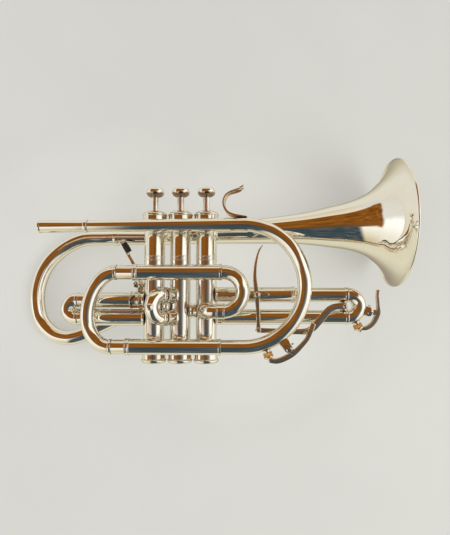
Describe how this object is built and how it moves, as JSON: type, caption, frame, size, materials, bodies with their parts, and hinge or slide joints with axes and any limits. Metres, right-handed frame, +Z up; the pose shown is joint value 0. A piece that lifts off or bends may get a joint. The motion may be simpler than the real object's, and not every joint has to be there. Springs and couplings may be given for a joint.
{
  "type": "cornet",
  "caption": "Silver-plated B-flat cornet with shepherd's crook bell bow, piston valves, tuning slide, thumb and finger slide triggers, finger hook and water keys.",
  "frame": {"origin": "centre of the flat underside of the middle valve's bottom cap", "axes": "+X towards the bell, +Z up the valves to the finger buttons, -Y to the player's right, where leadpipe and tuning slide lie"},
  "size_m": [0.3518, 0.1236, 0.1914],
  "materials": {
    "silver_plate": "silver-plated brass, mirror polish",
    "piston_monel": "lapped nickel-copper alloy, satin",
    "spring_steel": "bright round spring wire",
    "black_rubber": "moulded, matt",
    "cork": "natural pressed cork"
  },
  "bodies": {
    "root": {"valve_casing_1": "silver_plate", "valve_casing_2": "silver_plate", "valve_casing_3": "silver_plate", "bottom_cap_1": "silver_plate", "bottom_cap_2": "silver_plate", "bottom_cap_3": "silver_plate", "top_cap_1": "silver_plate", "top_cap_2": "silver_plate", "top_cap_3": "silver_plate", "valve_spring_1": "spring_steel", "valve_spring_2": "spring_steel", "valve_spring_3": "spring_steel", "knuckle_1_2": "silver_plate", "knuckle_2_3": "silver_plate", "mouthpiece_receiver": "silver_plate", "leadpipe": "silver_plate", "tuning_sleeve_lower": "silver_plate", "tuning_sleeve_upper": "silver_plate", "valve_entry_bow": "silver_plate", "finger_hook": "silver_plate", "bell": "silver_plate", "bell_bow": "silver_plate", "leadpipe_brace_rear": "silver_plate", "leadpipe_brace_front": "silver_plate", "first_sleeve_upper": "silver_plate", "first_sleeve_lower": "silver_plate", "first_trigger_bracket": "silver_plate", "second_sleeve_upper": "silver_plate", "second_sleeve_lower": "silver_plate", "third_sleeve_upper": "silver_plate", "third_sleeve_lower": "silver_plate", "third_trigger_bracket": "silver_plate", "water_key_saddle_1": "silver_plate"},
    "valve_1": {"piston_1": "piston_monel", "valve_stem_1": "silver_plate", "finger_button_1": "silver_plate"},
    "valve_2": {"piston_2": "piston_monel", "valve_stem_2": "silver_plate", "finger_button_2": "silver_plate"},
    "valve_3": {"piston_3": "piston_monel", "valve_stem_3": "silver_plate", "finger_button_3": "silver_plate"},
    "tuning_slide": {"tuning_bow": "silver_plate", "tuning_leg_lower": "silver_plate", "tuning_leg_upper": "silver_plate"},
    "first_valve_slide": {"first_slide": "silver_plate"},
    "first_trigger": {"first_trigger_lever": "silver_plate", "first_trigger_pad": "black_rubber"},
    "first_link": {"first_trigger_link": "silver_plate"},
    "second_valve_slide": {"second_slide": "silver_plate", "second_slide_knob": "silver_plate"},
    "third_valve_slide": {"third_slide": "silver_plate", "third_slide_post": "silver_plate", "water_key_saddle_2": "silver_plate"},
    "third_trigger": {"third_trigger_lever": "silver_plate"},
    "third_link": {"third_trigger_link": "silver_plate"},
    "water_key_1": {"water_key_lever_1": "silver_plate", "water_key_cork_1": "cork"},
    "water_key_2": {"water_key_lever_2": "silver_plate", "water_key_cork_2": "cork"}
  },
  "joints": [
    {"name": "valve_1_stroke", "type": "slide", "parent": "root", "child": "valve_1", "axis": [0, 0, -1], "range_m": [0, 0.0125], "stiffness_N_per_m": 250, "springref_m": -0.012, "deforming": ["valve_spring_1"]},
    {"name": "valve_2_stroke", "type": "slide", "parent": "root", "child": "valve_2", "axis": [0, 0, -1], "range_m": [0, 0.0125], "stiffness_N_per_m": 250, "springref_m": -0.012, "deforming": ["valve_spring_2"]},
    {"name": "valve_3_stroke", "type": "slide", "parent": "root", "child": "valve_3", "axis": [0, 0, -1], "range_m": [0, 0.0125], "stiffness_N_per_m": 250, "springref_m": -0.012, "deforming": ["valve_spring_3"]},
    {"name": "tuning_slide_pull", "type": "slide", "parent": "root", "child": "tuning_slide", "axis": [-1, 0, 0], "range_m": [-0.0115, 0.025]},
    {"name": "first_slide_pull", "type": "slide", "parent": "root", "child": "first_valve_slide", "axis": [-1, 0, 0], "range_m": [0, 0.01]},
    {"name": "first_trigger_swing", "type": "hinge", "parent": "root", "child": "first_trigger", "pos_m": [-0.0378, 0.0094, 0.0706], "axis": [0, 1, 0], "range_deg": [0, 24.5]},
    {"name": "first_link_swing", "type": "hinge", "parent": "first_valve_slide", "child": "first_link", "pos_m": [-0.1035, 0.0076, 0.0475], "axis": [0, -1, 0], "range_deg": [0, 2.5]},
    {"name": "second_slide_pull", "type": "slide", "parent": "root", "child": "second_valve_slide", "axis": [-0.6428, -0.766, 0], "range_m": [0, 0.006]},
    {"name": "third_slide_pull", "type": "slide", "parent": "root", "child": "third_valve_slide", "axis": [1, 0, 0], "range_m": [0, 0.012]},
    {"name": "third_trigger_swing", "type": "hinge", "parent": "root", "child": "third_trigger", "pos_m": [0.0695, -0.0097, 0.0616], "axis": [0, -1, 0], "range_deg": [0, 23]},
    {"name": "third_link_swing", "type": "hinge", "parent": "third_valve_slide", "child": "third_link", "pos_m": [0.1473, -0.0077, 0.05145], "axis": [0, 1, 0], "range_deg": [0, 2.5]},
    {"name": "water_key_1_press", "type": "hinge", "parent": "root", "child": "water_key_1", "pos_m": [0.09621, -0.018, 0.01505], "axis": [0, -1, 0], "range_deg": [0, 12], "stiffness_Nm_per_rad": 0.02, "springref_deg": -28.65},
    {"name": "water_key_2_press", "type": "hinge", "parent": "third_valve_slide", "child": "water_key_2", "pos_m": [0.17039, 0, 0.04603], "axis": [0, -1, 0], "range_deg": [0, 15], "stiffness_Nm_per_rad": 0.02, "springref_deg": -28.65}
  ],
  "couplings": [
    {"joint": "first_trigger_swing", "follows": "first_slide_pull", "rad_per_m": 41.7},
    {"joint": "first_link_swing", "follows": "first_slide_pull", "rad_per_m": 3.14},
    {"joint": "third_trigger_swing", "follows": "third_slide_pull", "rad_per_m": 32.6},
    {"joint": "third_link_swing", "follows": "third_slide_pull", "rad_per_m": 3.16}
  ]
}
